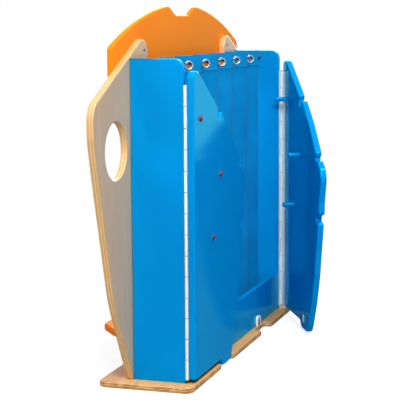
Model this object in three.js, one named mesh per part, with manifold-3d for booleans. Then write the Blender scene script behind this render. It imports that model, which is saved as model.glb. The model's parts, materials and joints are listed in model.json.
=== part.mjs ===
// Tabletop puppet theater stand: a narrow plywood cabinet with a pair of scalloped stage doors,
// a drawn curtain on a rod, side wings with round look-out holes and an arched crown board.
// Millimetres, +Z up. X runs from left to right as the audience sees it, -Y faces the audience.
// The origin is the middle of the base plate's underside.

import * as THREE from 'three';
import { mergeVertices } from 'three/addons/utils/BufferGeometryUtils.js';
import Module from 'manifold-3d';

const wasm = await Module();
wasm.setup();

// Overall sizes of the cabinet
const cabinet_width = 750;
const cabinet_depth = 112;
const wall_height = 650;
const wall_thickness = 15;
const wall_corner_radius = 20;

// Base plate
const base_thickness = 12;
const base_side_margin = 35;
const base_front_margin = 24;
const base_rear_margin = 66;
const base_corner_radius = 18;
const notch_corner_radius = 5;
const notch_hinge_side_margin = 5;
const notch_free_side_margin = 1;
const notch_back_clearance = 0.6;

// Front apron, the low board that joins the walls at the front
const apron_height = 93;
const apron_thickness = 12;

// Doors, measured from the hinge-side edge towards the free edge
const door_thickness = 15;
const door_meeting_gap = 24;
const door_bottom_gap = 7;
const door_top_drop = 24.5;
const door_open_angle_deg = 28;
const door_hinge_corner_radius = 16;
const lobe_slope = 14;
const lobe_floor_gap = 3.5;
const lobe_radius = 14;
const lobe_root_radius = 8;
const lobe_shoulder = 5;
const lobe_shoulder_radius = 20;

// Piano hinges
const hinge_top_drop = 51;
const hinge_bottom_gap = 7;
const hinge_outboard = 1;
const knuckle_count = 14;
const knuckle_diameter = 6;
const knuckle_bore = 3.9;
const knuckle_end_gap = 0.3;
const pin_diameter = 3.2;
const pin_head_diameter = 5;
const pin_head_height = 1.2;
const leaf_thickness = 1;
const wall_leaf_width = 14;
const door_leaf_width = 25;
const leaf_root_offset = 3.6;
const leaf_screw_count = 8;
const leaf_screw_hole = 3.6;

// Puppet pegs inside the doors, and the red caps that hold them from outside
const peg_diameter = 12;
const peg_length = 29;
const peg_tip_radius = 3;
const cap_diameter = 12;
const cap_height = 4.5;
const cap_rim = 1;
const dome_steps = 3;
const stem_diameter = 4.6;
const stem_grip = 12;

// Catches at the foot of the apron and their strike plates on the doors
const catch_width = 28;
const catch_height = 24;
const catch_thickness = 5.2;
const catch_leg = 6.5;
const catch_crown_radius = 8;
const catch_leg_radius = 1.5;
const magnet_thickness = 4.4;
const strike_width = 14;
const strike_height = 18;
const strike_centre = 18;
const strike_thickness = 0.8;
const strike_corner_radius = 3;

// Wing panels
const wing_thickness = 15;
const wing_overhang = 190;
const wing_rise = 55;
const wing_inboard = 35;
const ear_reach = 107;
const porthole_diameter = 114;
const porthole_overhang = 75;

// Crown board
const crown_overhang = 53;
const crown_thickness = 12;
const crown_height = 159.5;
const crown_side_drop = 87;
const crown_lap = 50;
const crown_end_radius = 9;
const crown_lower_radius = 20;
const crown_notch_half_width = 90;
const crown_notch_floor_half_width = 43;
const crown_notch_depth = 24.5;
const crown_notch_lip_radius = 45;
const crown_notch_root_radius = 45;

// Screws that hold the crown to the wings
const screw_head_diameter = 8;
const screw_head_height = 2.4;
const screw_shank_diameter = 4;
const ear_screw_offset = 85;
const ear_screw_drop = 39;
const inner_screw_offset = 25;
const inner_screw_rise = 20;

// Rear shelf, slotted around the wings, and the cleats that carry it
const shelf_thickness = 14;
const shelf_clear_height = 97;
const shelf_overhang = 44;
const shelf_corner_cut_width = 50;
const shelf_corner_cut_depth = 42;
const shelf_corner_radius = 25;
const shelf_slot_radius = 4;
const cleat_width = 15;
const cleat_height = 14;

// Curtain, its rod and its eyelets
const rod_diameter = 6;
const rod_drop = 17;
const socket_diameter = 18;
const socket_length = 5;
const curtain_thickness = 1.6;
const header_rise = 18;
const hem_gap = 14;
const curtain_side_gap = 45;
const curtain_slack = 9.5;
const pleat_pitch = 118;
const header_fold_depth = 17.5;
const hem_fold_depth = 16;
const pleat_columns = 12;
const curtain_rows = 4;
const hem_sway = 0.35;
const eyelet_diameter = 20.5;
const eyelet_bore = 13;
const eyelet_wall = 0.7;

// Clearances and finish
const seat_gap = 0.3;
const running_gap = 0.35;
const cloth_gap = 0.45;
const edge_radius = 3;
const thin_edge_radius = 1;
const foot_corner_radius = 4;
const facet_sag = 0.25;
const overrun = 5;
const round_sides = 12;
const fine_sides = 10;

// Heights and reaches that follow other sizes, as shares of them
const lobe_start_share = 0.485;
const lobe_width_share = 0.226;
const catch_reach_share = 0.587;
const porthole_height_share = 0.671;
const rod_depth_share = 0.491;
const screw_crown_share = 0.6;
const screw_shoulder_share = 0.85;
const eyelet_throat_share = 0.6;
const tip_corner_share = 0.3;

// Places worked out from the sizes above
const half_width = cabinet_width / 2;
const inner_half_width = half_width - wall_thickness;
const wall_top = base_thickness + wall_height;
const base_depth = base_front_margin + cabinet_depth + base_rear_margin;
const front_plane = base_front_margin - base_depth / 2;
const wing_front = front_plane + cabinet_depth;
const wing_height = wall_height + wing_rise;
const porthole_height = base_thickness + porthole_height_share * wing_height;
const crown_front = wing_front + wing_thickness;
const crown_width = 2 * (half_width + crown_overhang);
const crown_bottom = wall_top - crown_lap;
const crown_top = crown_bottom + crown_height;
const ear_screw_height = base_thickness + wing_height - ear_screw_drop;
const inner_screw_height = crown_bottom + inner_screw_rise;
const shelf_underside = base_thickness + shelf_clear_height;
const hinge_gap = knuckle_diameter + 2 * seat_gap;
const hinge_x = half_width + hinge_outboard;
const hinge_y = front_plane - hinge_gap / 2;
const hinge_bottom = base_thickness + hinge_bottom_gap;
const hinge_length = wall_top - hinge_top_drop - hinge_bottom;
const door_width = half_width - door_meeting_gap / 2;
const door_bottom = base_thickness + door_bottom_gap;
const door_top = wall_top - door_top_drop;
const lobe_start = lobe_start_share * door_width;
const lobe_width = lobe_width_share * door_width;
const catch_reach = catch_reach_share * door_width;
const catch_x = half_width - catch_reach;
const rod_depth = rod_depth_share * cabinet_depth;
const rod_y = front_plane + rod_depth;
const rod_height = wall_top - rod_drop;
const curtain_top = rod_height + header_rise;
const curtain_bottom = base_thickness + hem_gap;
const curtain_half_width = inner_half_width - curtain_side_gap;

// The door's free edge from its peak down to the lobe, with three notches: reach as a share of the
// door's width, height as a share of the door's height, and fillet as a share of the width
const door_edge_shares = [
  [0.083, 1.000, 0.110],
  [0.457, 0.868, 0.014],
  [0.432, 0.858, 0.012],
  [0.437, 0.829, 0.012],
  [0.474, 0.829, 0.012],
  [0.506, 0.857, 0.020],
  [0.689, 0.779, 0.413],
  [0.892, 0.665, 0.022],
  [0.847, 0.659, 0.012],
  [0.853, 0.646, 0.012],
  [0.905, 0.646, 0.025],
  [0.970, 0.624, 0.055],
  [1.001, 0.585, 0.072],
  [0.959, 0.496, 0.165],
  [0.956, 0.451, 0.025],
  [0.887, 0.441, 0.014],
  [0.887, 0.424, 0.014],
  [0.937, 0.419, 0.022],
  [0.926, 0.377, 0.083],
  [0.887, 0.286, 0.165],
  [0.862, 0.212, 0.220],
  [0.793, 0.102, 0.165],
];

// Pegs of one door: reach as a share of the door's width, height as a share of its height
const peg_place_shares = [
  [0.110, 0.847],
  [0.477, 0.645],
  [0.335, 0.442],
];

// Outer edge of a wing: overhang as a share of its largest overhang, height as a share of the
// wing's height, and fillet as a share of the overhang
const wing_edge_shares = [
  [0.010, 0.0, 0.023],
  [0.531, 0.253, 1.58],
  [0.930, 0.635, 1.0],
  [1.0, 0.715, 0.3],
  [1.0, 0.80, 0.2],
];

// Inboard edge of a wing below the ear: heights as shares of the wing's height
const ear_root_share = 0.874;
const wing_waist_share = 0.798;
const ear_radius_share = 0.29;
const ear_root_radius_share = 0.16;
const wing_waist_radius_share = 0.32;

// Finishes
function finish(color, roughness, metalness) {
  return new THREE.MeshStandardMaterial({ color, roughness, metalness });
}
const blue_lacquer = finish('#0a8ad0', 0.28, 0);
const orange_lacquer = finish('#ee8f37', 0.4, 0);
const birch_plywood = finish('#d9ab78', 0.5, 0);
const blue_satin = finish('#0a84c8', 0.55, 0);
const nickel_plate = finish('#d8d8d4', 0.22, 1);
const chrome_plate = finish('#e4e6e8', 0.12, 1);
const red_enamel = finish('#c02a30', 0.35, 0);
const white_plastic = finish('#f0f0ec', 0.45, 0);
const black_ferrite = finish('#26262a', 0.6, 0);
const zinc_plate = finish('#8c8c8a', 0.4, 1);

// Closed solids and booleans

// A three.js geometry as a solid that can be joined and cut
function solidOf(geometry) {
  const bare = geometry.clone();
  bare.deleteAttribute('normal');
  bare.deleteAttribute('uv');
  const merged = mergeVertices(bare, facet_sag / 1000);
  const vertProperties = new Float32Array(merged.attributes.position.array);
  const triVerts = new Uint32Array(merged.index.array);
  return new wasm.Manifold(new wasm.Mesh({ numProp: 3, vertProperties, triVerts }));
}

// A solid back as a three.js geometry
function geometryOf(solid) {
  const mesh = solid.getMesh();
  const stride = mesh.numProp;
  const count = mesh.vertProperties.length / stride;
  const positions = new Float32Array(count * 3);
  for (let i = 0; i < count; i += 1) {
    for (let k = 0; k < 3; k += 1) {
      positions[i * 3 + k] = mesh.vertProperties[i * stride + k];
    }
  }
  const geometry = new THREE.BufferGeometry();
  geometry.setAttribute('position', new THREE.BufferAttribute(positions, 3));
  geometry.setIndex(new THREE.BufferAttribute(new Uint32Array(mesh.triVerts), 1));
  geometry.computeVertexNormals();
  return geometry;
}

// One geometry with the listed cutters taken away
function cut(geometry, cutters) {
  let solid = solidOf(geometry);
  for (const cutter of cutters) {
    solid = solid.subtract(solidOf(cutter));
  }
  return geometryOf(solid);
}

// Several overlapping geometries as one body
function joined(geometries) {
  let solid = solidOf(geometries[0]);
  for (const geometry of geometries.slice(1)) {
    solid = solid.add(solidOf(geometry));
  }
  return solid;
}

// Outlines

// Points along an arc from angle a0 to a1, fine enough for the allowed sag
function arcPoints(cx, cy, radius, a0, a1) {
  const step = 2 * Math.acos(Math.max(0, 1 - facet_sag / radius));
  const count = Math.max(2, Math.ceil(Math.abs(a1 - a0) / step));
  const points = [];
  for (let i = 0; i <= count; i += 1) {
    const a = a0 + (a1 - a0) * i / count;
    points.push(new THREE.Vector2(cx + radius * Math.cos(a), cy + radius * Math.sin(a)));
  }
  return points;
}

// A closed outline whose corners [x, y, radius] are rounded by tangent arcs. Where two fillets are
// longer than the edge between them, both are drawn in alike.
function filleted(corners) {
  const count = corners.length;
  const rings = corners.map(([x, y, radius], i) => {
    const [px, py] = corners[(i + count - 1) % count];
    const [nx, ny] = corners[(i + 1) % count];
    const back = new THREE.Vector2(px - x, py - y);
    const ahead = new THREE.Vector2(nx - x, ny - y);
    const length = ahead.length();
    back.normalize();
    ahead.normalize();
    const half = Math.acos(THREE.MathUtils.clamp(back.dot(ahead), -1, 1)) / 2;
    return { x, y, back, ahead, half, length, run: radius / Math.tan(half) };
  });
  const room = rings.map((ring, i) => {
    const wanted = ring.run + rings[(i + 1) % count].run;
    return Math.min(1, ring.length / Math.max(wanted, ring.length / 2));
  });
  const points = [];
  rings.forEach(({ x, y, back, ahead, half, run }, i) => {
    const held = run * Math.min(room[i], room[(i + count - 1) % count]);
    if (held <= 0 || Math.PI / 2 - half < facet_sag / 100) {
      points.push(new THREE.Vector2(x, y));
      return;
    }
    const radius = held * Math.tan(half);
    const middle = back.clone().add(ahead).normalize().multiplyScalar(radius / Math.sin(half));
    const cx = x + middle.x;
    const cy = y + middle.y;
    const a0 = Math.atan2(y + back.y * held - cy, x + back.x * held - cx);
    let sweep = Math.atan2(y + ahead.y * held - cy, x + ahead.x * held - cx) - a0;
    if (sweep > Math.PI) sweep -= 2 * Math.PI;
    if (sweep < -Math.PI) sweep += 2 * Math.PI;
    points.push(...arcPoints(cx, cy, radius, a0, a0 + sweep));
  });
  return points;
}

// The outline mirrored to the left hand where side is -1
function handed(points, side) {
  const turned = points.map((p) => new THREE.Vector2(p.x * side, p.y));
  return side < 0 ? turned.reverse() : turned;
}

function circle(cx, cy, radius) {
  return arcPoints(cx, cy, radius, 0, 2 * Math.PI).slice(0, -1);
}

// Boards

// A board of the outline's shape with rounded-over edges, lying in XY with its thickness along +Z
function board(outline, thickness, round = edge_radius, holes = []) {
  const shape = new THREE.Shape(outline);
  for (const hole of holes) {
    shape.holes.push(new THREE.Path(hole));
  }
  return new THREE.ExtrudeGeometry(shape, {
    depth: thickness - 2 * round,
    bevelEnabled: true,
    bevelThickness: round,
    bevelSize: round,
    bevelOffset: -round,
    bevelSegments: 2,
  }).translate(0, 0, round);
}

// A sharp-edged plate, for metal and small parts
function plate(outline, thickness) {
  const shape = new THREE.Shape(outline);
  return new THREE.ExtrudeGeometry(shape, { depth: thickness, bevelEnabled: false });
}

// Turns a flat board upright so that its outline lies in XZ and its thickness runs along +Y
function facingFront(geometry, thickness) {
  return geometry.rotateX(Math.PI / 2).translate(0, thickness, 0);
}

// Turns a flat board upright so that its outline lies in YZ and its thickness runs along +X
function facingSide(geometry) {
  const basis = new THREE.Matrix4().makeBasis(
    new THREE.Vector3(0, 1, 0),
    new THREE.Vector3(0, 0, 1),
    new THREE.Vector3(1, 0, 0),
  );
  return geometry.applyMatrix4(basis);
}

function block(width, depth, height) {
  return new THREE.BoxGeometry(width, depth, height);
}

// A turned part: profile points [radius, height] from the axis and back to it, standing along +Z
function turned(profile, sides = round_sides) {
  const points = profile.map(([r, h]) => new THREE.Vector2(r, h));
  return new THREE.LatheGeometry(points, sides).rotateX(Math.PI / 2);
}

// A turned sleeve with a through bore, standing along +Z from zero
function sleeve(outer, bore, length, sides = round_sides) {
  return turned([
    [bore / 2, 0],
    [outer / 2, 0],
    [outer / 2, length],
    [bore / 2, length],
    [bore / 2, 0],
  ], sides);
}

function rodOf(diameter, length, sides = round_sides) {
  return turned([[0, 0], [diameter / 2, 0], [diameter / 2, length], [0, length]], sides);
}

// The scene graph

const stand = new THREE.Group();

function add(parent, name, geometry, material, x = 0, y = 0, z = 0) {
  const mesh = new THREE.Mesh(geometry, material);
  mesh.name = name;
  mesh.position.set(x, y, z);
  parent.add(mesh);
  return mesh;
}

// Base plate, with two notches in its front edge for the lobes of the closed doors
function baseOutline() {
  const x = half_width + base_side_margin;
  const front = -base_depth / 2;
  const rear = base_depth / 2;
  const near = half_width - lobe_start - lobe_width - notch_free_side_margin;
  const far = half_width - lobe_start + notch_hinge_side_margin;
  const back = hinge_y - hinge_gap / 2 + notch_back_clearance;
  const r = notch_corner_radius;
  return filleted([
    [-x, rear, base_corner_radius],
    [-x, front, base_corner_radius],
    [-far, front, r],
    [-far, back, r],
    [-near, back, r],
    [-near, front, r],
    [near, front, r],
    [near, back, r],
    [far, back, r],
    [far, front, r],
    [x, front, base_corner_radius],
    [x, rear, base_corner_radius],
  ]);
}
add(stand, 'base_plate', board(baseOutline(), base_thickness), birch_plywood);

// Side walls, with the front top corner rounded
function wallGeometry() {
  const outline = filleted([
    [0, 0, 0],
    [cabinet_depth, 0, 0],
    [cabinet_depth, wall_height, 0],
    [0, wall_height, wall_corner_radius],
  ]);
  return facingSide(board(outline, wall_thickness));
}

// Front apron between the walls
const apron_width = 2 * (inner_half_width - seat_gap);
const apron_outline = filleted([
  [-apron_width / 2, 0, 0],
  [apron_width / 2, 0, 0],
  [apron_width / 2, apron_height, 0],
  [-apron_width / 2, apron_height, 0],
]);
add(
  stand, 'front_apron',
  facingFront(board(apron_outline, apron_thickness), apron_thickness),
  blue_lacquer, 0, front_plane, base_thickness,
);

// Wing panel: a broad ear-topped board with a round look-out hole
function wingOutline(side) {
  const bottom = base_thickness;
  const ear_x = half_width - ear_reach;
  const corners = wing_edge_shares.map(([x, z, r]) => [
    half_width + x * wing_overhang,
    bottom + z * wing_height,
    r * wing_overhang,
  ]);
  corners.push([ear_x, bottom + wing_height, ear_radius_share * ear_reach]);
  corners.push([ear_x, bottom + ear_root_share * wing_height, ear_root_radius_share * wing_overhang]);
  const waist_radius = wing_waist_radius_share * wing_overhang;
  corners.push([half_width - wing_inboard, bottom + wing_waist_share * wing_height, waist_radius]);
  corners.push([half_width - wing_inboard, bottom, foot_corner_radius]);
  return handed(filleted(corners), side);
}

function wingGeometry(side) {
  const x = side * (half_width + porthole_overhang);
  const hole = circle(x, porthole_height, porthole_diameter / 2);
  const panel = board(wingOutline(side), wing_thickness, edge_radius, [hole]);
  const drills = screwPlaces(side).map(([sx, sz]) => {
    const drill = rodOf(screw_shank_diameter + 2 * seat_gap, wing_thickness + 2 * overrun, fine_sides);
    return drill.translate(sx, sz, -overrun);
  });
  return facingFront(cut(panel, drills), wing_thickness);
}

// Places of the two screws on one side, one in the ear and one lower down inside the wall
function screwPlaces(side) {
  return [
    [side * (half_width - ear_screw_offset), ear_screw_height],
    [side * (half_width - inner_screw_offset), inner_screw_height],
  ];
}

// Crown board: a shallow arch with a rounded notch at its top
function crownOutline() {
  const half = crown_width / 2;
  const side_top = crown_top - crown_side_drop;
  const radius = (half * half + crown_side_drop * crown_side_drop) / (2 * crown_side_drop);
  const lip_z = crown_top - radius + Math.sqrt(radius ** 2 - crown_notch_half_width ** 2);
  const arc_start = Math.asin(half / radius);
  const arc_end = Math.asin(crown_notch_half_width / radius);
  const corners = [
    [-half, crown_bottom, crown_lower_radius],
    [half, crown_bottom, crown_lower_radius],
    [half, side_top, crown_end_radius],
  ];
  const steps = Math.ceil((arc_start - arc_end) / (2 * Math.acos(1 - facet_sag / radius)));
  const arch = [];
  for (let i = 1; i < steps; i += 1) {
    const a = arc_start + (arc_end - arc_start) * i / steps;
    arch.push([radius * Math.sin(a), crown_top - radius + radius * Math.cos(a), 0]);
  }
  corners.push(...arch);
  corners.push([crown_notch_half_width, lip_z, crown_notch_lip_radius]);
  corners.push([crown_notch_floor_half_width, crown_top - crown_notch_depth, crown_notch_root_radius]);
  corners.push([-crown_notch_floor_half_width, crown_top - crown_notch_depth, crown_notch_root_radius]);
  corners.push([-crown_notch_half_width, lip_z, crown_notch_lip_radius]);
  corners.push(...arch.reverse().map(([x, z, r]) => [-x, z, r]));
  corners.push([-half, side_top, crown_end_radius]);
  return filleted(corners);
}
add(
  stand, 'crown_board',
  crownGeometry(),
  orange_lacquer, 0, crown_front, 0,
);

function crownGeometry() {
  const panel = board(crownOutline(), crown_thickness);
  const drills = [];
  for (const side of [-1, 1]) {
    for (const [x, z] of screwPlaces(side)) {
      const depth = crown_thickness - edge_radius;
      const drill = rodOf(screw_shank_diameter + 2 * seat_gap, depth + overrun, fine_sides);
      drills.push(drill.translate(x, z, crown_thickness - depth));
    }
  }
  return facingFront(cut(panel, drills), crown_thickness);
}

// Round-headed screw along +Y, its head on the wing's front face and its shank into the crown
function screwGeometry() {
  const length = wing_thickness + crown_thickness - edge_radius - seat_gap;
  const head = screw_head_diameter / 2;
  const shank = screw_shank_diameter / 2;
  const profile = [
    [0, -screw_head_height],
    [head * screw_crown_share, -screw_head_height * screw_shoulder_share],
    [head, 0],
    [shank, 0],
    [shank, length - shank],
    [0, length],
  ];
  return turned(profile, fine_sides).rotateX(-Math.PI / 2);
}

// Rear shelf: it reaches past the walls behind the wings and narrows to pass between them
function shelfOutline() {
  const wide = half_width + shelf_overhang;
  const narrow = half_width - wing_inboard - seat_gap;
  const inside = inner_half_width - seat_gap;
  const front = wing_front - cleatDepth();
  const slot_front = wing_front - seat_gap;
  const slot_rear = wing_front + wing_thickness + seat_gap;
  const rear = base_depth / 2;
  const r = shelf_slot_radius;
  return filleted([
    [-inside, front, r],
    [inside, front, r],
    [inside, slot_front, r],
    [narrow, slot_front, 0],
    [narrow, slot_rear, 0],
    [wide, slot_rear, r],
    [wide, rear - shelf_corner_cut_depth, r],
    [wide - shelf_corner_cut_width, rear, shelf_corner_radius],
    [shelf_corner_cut_width - wide, rear, shelf_corner_radius],
    [-wide, rear - shelf_corner_cut_depth, r],
    [-wide, slot_rear, r],
    [-narrow, slot_rear, 0],
    [-narrow, slot_front, 0],
    [-inside, slot_front, r],
  ]);
}

// The shelf and its cleats fill the room between the curtain's folds and the wings
function cleatDepth() {
  const curtain_depth = header_fold_depth + curtain_slack + curtain_thickness;
  return cabinet_depth - rod_depth - curtain_depth - 2 * edge_radius;
}
add(
  stand, 'rear_shelf', board(shelfOutline(), shelf_thickness),
  orange_lacquer, 0, 0, shelf_underside,
);

// Curtain: pleats that cross the rod line every half pitch, slightly looser towards the hem
function foldAt(x, z) {
  const fall = (curtain_top - z) / (curtain_top - curtain_bottom);
  const depth = header_fold_depth + (hem_fold_depth - header_fold_depth) * fall;
  const sway = hem_sway * fall * fall * Math.sin(2 * Math.PI * x / (3 * pleat_pitch));
  return depth * Math.sin(2 * Math.PI * x / pleat_pitch + sway);
}

function curtainGeometry() {
  const columns = 2 * Math.floor(curtain_half_width / (pleat_pitch / pleat_columns));
  const column_step = pleat_pitch / pleat_columns;
  const positions = [];
  for (let side = 0; side < 2; side += 1) {
    for (let j = 0; j <= curtain_rows; j += 1) {
      const z = curtain_top + (curtain_bottom - curtain_top) * j / curtain_rows;
      for (let i = 0; i <= columns; i += 1) {
        const x = (i - columns / 2) * column_step;
        const slope = (foldAt(x + column_step / 2, z) - foldAt(x - column_step / 2, z)) / column_step;
        const scale = (side - 0.5) * curtain_thickness / Math.hypot(1, slope);
        positions.push(x - slope * scale, foldAt(x, z) + scale, z);
      }
    }
  }
  const width = columns + 1;
  const sheet = width * (curtain_rows + 1);
  const at = (side, j, i) => side * sheet + j * width + i;
  const faces = [];
  const quad = (a, b, c, d) => faces.push(a, b, c, a, c, d);
  for (let j = 0; j < curtain_rows; j += 1) {
    for (let i = 0; i < columns; i += 1) {
      quad(at(0, j, i), at(0, j + 1, i), at(0, j + 1, i + 1), at(0, j, i + 1));
      quad(at(1, j, i), at(1, j, i + 1), at(1, j + 1, i + 1), at(1, j + 1, i));
    }
    quad(at(0, j, 0), at(1, j, 0), at(1, j + 1, 0), at(0, j + 1, 0));
    quad(at(0, j, columns), at(0, j + 1, columns), at(1, j + 1, columns), at(1, j, columns));
  }
  for (let i = 0; i < columns; i += 1) {
    quad(at(0, 0, i), at(0, 0, i + 1), at(1, 0, i + 1), at(1, 0, i));
    quad(at(0, curtain_rows, i), at(1, curtain_rows, i), at(1, curtain_rows, i + 1),
      at(0, curtain_rows, i + 1));
  }
  const geometry = new THREE.BufferGeometry();
  geometry.setAttribute('position', new THREE.Float32BufferAttribute(positions, 3));
  geometry.setIndex(faces);
  return geometry;
}

// The crossings of cloth and rod: place along the rod and the cloth's angle to it
function eyeletPlaces() {
  const last = Math.floor((curtain_half_width - eyelet_diameter / 2) / (pleat_pitch / 2));
  const places = [];
  for (let k = -last; k <= last; k += 1) {
    const x = k * pleat_pitch / 2;
    const step = pleat_pitch / pleat_columns;
    const rise = foldAt(x + step / 2, rod_height) - foldAt(x - step / 2, rod_height);
    places.push({ x, y: foldAt(x, rod_height), angle: Math.atan2(rise, step) });
  }
  return places;
}

// Turns a part that stands along +Z so that it points across the cloth at an eyelet
function acrossCloth(geometry, place) {
  return geometry
    .rotateX(-Math.PI / 2)
    .rotateZ(place.angle)
    .translate(place.x, place.y, rod_height);
}

function curtainWithHoles() {
  const hole = eyelet_bore + 2 * eyelet_wall + 2 * cloth_gap;
  const length = 2 * overrun;
  const drills = eyeletPlaces().map((place) => {
    return acrossCloth(rodOf(hole, length, fine_sides).translate(0, 0, -length / 2), place);
  });
  return cut(curtainGeometry(), drills);
}
add(stand, 'curtain', curtainWithHoles(), blue_satin, 0, rod_y, 0);

// Eyelet: a rolled ring with a flange on each side of the cloth
function eyeletGeometry(place) {
  const bore = eyelet_bore / 2;
  const barrel = bore + eyelet_wall;
  const outer = eyelet_diameter / 2;
  const grip = curtain_thickness / 2 + cloth_gap;
  const face = grip + eyelet_wall;
  const ring = turned([
    [bore, -face * eyelet_throat_share],
    [barrel, -face],
    [outer - eyelet_wall, -face],
    [outer, -grip],
    [barrel, -grip],
    [barrel, grip],
    [outer, grip],
    [outer - eyelet_wall, face],
    [barrel, face],
    [bore, face * eyelet_throat_share],
    [bore, -face * eyelet_throat_share],
  ], fine_sides);
  return acrossCloth(ring, place);
}
eyeletPlaces().forEach((place, i) => {
  add(stand, `curtain_eyelet_${i + 1}`, eyeletGeometry(place), chrome_plate, 0, rod_y, 0);
});

// Curtain rod between two wall sockets
const rod_length = 2 * (inner_half_width - seat_gap);
add(
  stand, 'curtain_rod',
  rodOf(rod_diameter, rod_length).rotateY(Math.PI / 2),
  nickel_plate, -rod_length / 2, rod_y, rod_height,
);

// Piano hinge

// The knuckles of one leaf: it owns every second knuckle, from the first or the second up
function knuckleSpans(first) {
  const pitch = hinge_length / knuckle_count;
  const spans = [];
  for (let k = first; k < knuckle_count; k += 2) {
    spans.push([k * pitch + knuckle_end_gap / 2, pitch - knuckle_end_gap]);
  }
  return spans;
}

// One hinge leaf in the hinge's own frame: the axis is Z, the leaf lies on the +Y side of the axis
// where toWall is 1 and on the -Y side where it is -1, and it reaches towards -X.
function leafGeometry(first, width, toWall) {
  const leaf_y = toWall * (knuckle_diameter / 2 - leaf_thickness / 2);
  const strip = block(width - leaf_root_offset, leaf_thickness, hinge_length);
  strip.translate(-(width + leaf_root_offset) / 2, leaf_y, hinge_length / 2);
  const pieces = [strip];
  const bores = [];
  for (const [start, length] of knuckleSpans(first)) {
    const tab = block(leaf_root_offset + leaf_thickness, leaf_thickness, length);
    tab.translate(-(leaf_root_offset + leaf_thickness) / 2, leaf_y, start + length / 2);
    pieces.push(tab);
    pieces.push(rodOf(knuckle_diameter, length).translate(0, 0, start));
    bores.push(rodOf(knuckle_bore, length + 2 * overrun, fine_sides).translate(0, 0, start - overrun));
  }
  const screw_x = -(width + leaf_root_offset) / 2;
  for (const z of leafScrewHeights()) {
    const drill = rodOf(leaf_screw_hole, knuckle_diameter, fine_sides);
    drill.translate(0, 0, -knuckle_diameter / 2).rotateX(Math.PI / 2).translate(screw_x, leaf_y, z);
    bores.push(drill);
  }
  let solid = joined(pieces);
  for (const bore of bores) {
    solid = solid.subtract(solidOf(bore));
  }
  return geometryOf(solid);
}

function leafScrewHeights() {
  const pitch = hinge_length / leaf_screw_count;
  return Array.from({ length: leaf_screw_count }, (_, k) => (k + 0.5) * pitch);
}

// Hinge pin with a small head under the lowest knuckle and one above the highest
function pinGeometry() {
  const pin = pin_diameter / 2;
  const head = pin_head_diameter / 2;
  const low = -seat_gap;
  const high = hinge_length + seat_gap;
  return turned([
    [0, low - pin_head_height],
    [head, low - pin_head_height],
    [head, low],
    [pin, low],
    [pin, high],
    [head, high],
    [head, high + pin_head_height],
    [0, high + pin_head_height],
  ], fine_sides);
}

// Mirrors a geometry across the YZ plane and turns its faces out again
function mirrored(geometry, side) {
  if (side > 0) return geometry;
  const flipped = geometry.clone().scale(-1, 1, 1);
  const index = flipped.index ? flipped.index.array : null;
  if (index) {
    for (let i = 0; i < index.length; i += 3) {
      [index[i + 1], index[i + 2]] = [index[i + 2], index[i + 1]];
    }
  } else {
    const p = flipped.attributes.position;
    const a = new THREE.Vector3();
    const b = new THREE.Vector3();
    for (let i = 0; i < p.count; i += 3) {
      a.fromBufferAttribute(p, i + 1);
      b.fromBufferAttribute(p, i + 2);
      p.setXYZ(i + 1, b.x, b.y, b.z);
      p.setXYZ(i + 2, a.x, a.y, a.z);
    }
  }
  flipped.computeVertexNormals();
  return flipped;
}

// Doors

// Outline of the right door in the hinge's frame: it reaches towards -X, heights are absolute
function doorOutline() {
  const tall = door_top - door_bottom;
  const reachTo = (reach) => -(hinge_outboard + reach);
  const corners = [
    [reachTo(0), door_bottom, foot_corner_radius],
    [reachTo(0), door_top, door_hinge_corner_radius],
  ];
  for (const [reach, height, radius] of door_edge_shares) {
    corners.push([reachTo(reach * door_width), door_bottom + height * tall, radius * door_width]);
  }
  const lobe_end = lobe_start + lobe_width;
  corners.push([reachTo(lobe_end), door_bottom + lobe_shoulder, lobe_shoulder_radius]);
  corners.push([reachTo(lobe_end - lobe_slope), lobe_floor_gap, lobe_radius]);
  corners.push([reachTo(lobe_start + lobe_slope), lobe_floor_gap, lobe_radius]);
  corners.push([reachTo(lobe_start), door_bottom, lobe_root_radius]);
  return filleted(corners);
}

// Reach and height of the pegs of one door
function pegPlaces() {
  return peg_place_shares.map(([reach, height]) => [
    -(hinge_outboard + reach * door_width),
    door_bottom + height * (door_top - door_bottom),
  ]);
}

function doorGeometry() {
  const drills = pegPlaces().map(([x, z]) => {
    const drill = rodOf(stem_diameter + 2 * seat_gap, door_thickness + 2 * overrun, fine_sides);
    return drill.translate(x, z, -overrun);
  });
  const panel = cut(board(doorOutline(), door_thickness), drills);
  return facingFront(panel, door_thickness);
}

// Puppet peg along +Y, with a blind hole for the cap's stem
function pegGeometry() {
  const r = peg_diameter / 2;
  const bore = stem_diameter / 2 + seat_gap;
  return turned([
    [bore, 0],
    [r, 0],
    [r, peg_length - peg_tip_radius],
    [r - peg_tip_radius * tip_corner_share, peg_length - peg_tip_radius * tip_corner_share],
    [r - peg_tip_radius, peg_length],
    [0, peg_length],
    [0, stem_grip + seat_gap],
    [bore, stem_grip + seat_gap],
    [bore, 0],
  ]).rotateX(-Math.PI / 2);
}

// Domed cap on the door's outer face, its stem through the door into the peg, along +Y
function capGeometry() {
  const r = cap_diameter / 2;
  const stem = stem_diameter / 2;
  const dome = [];
  for (let i = 0; i <= dome_steps; i += 1) {
    const a = Math.PI / 2 * i / dome_steps;
    dome.push([r * Math.sin(a), -cap_rim - (cap_height - cap_rim) * Math.cos(a)]);
  }
  const length = door_thickness + 2 * seat_gap + stem_grip;
  return turned([...dome, [r, 0], [stem, 0], [stem, length], [0, length]]).rotateX(-Math.PI / 2);
}

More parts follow.
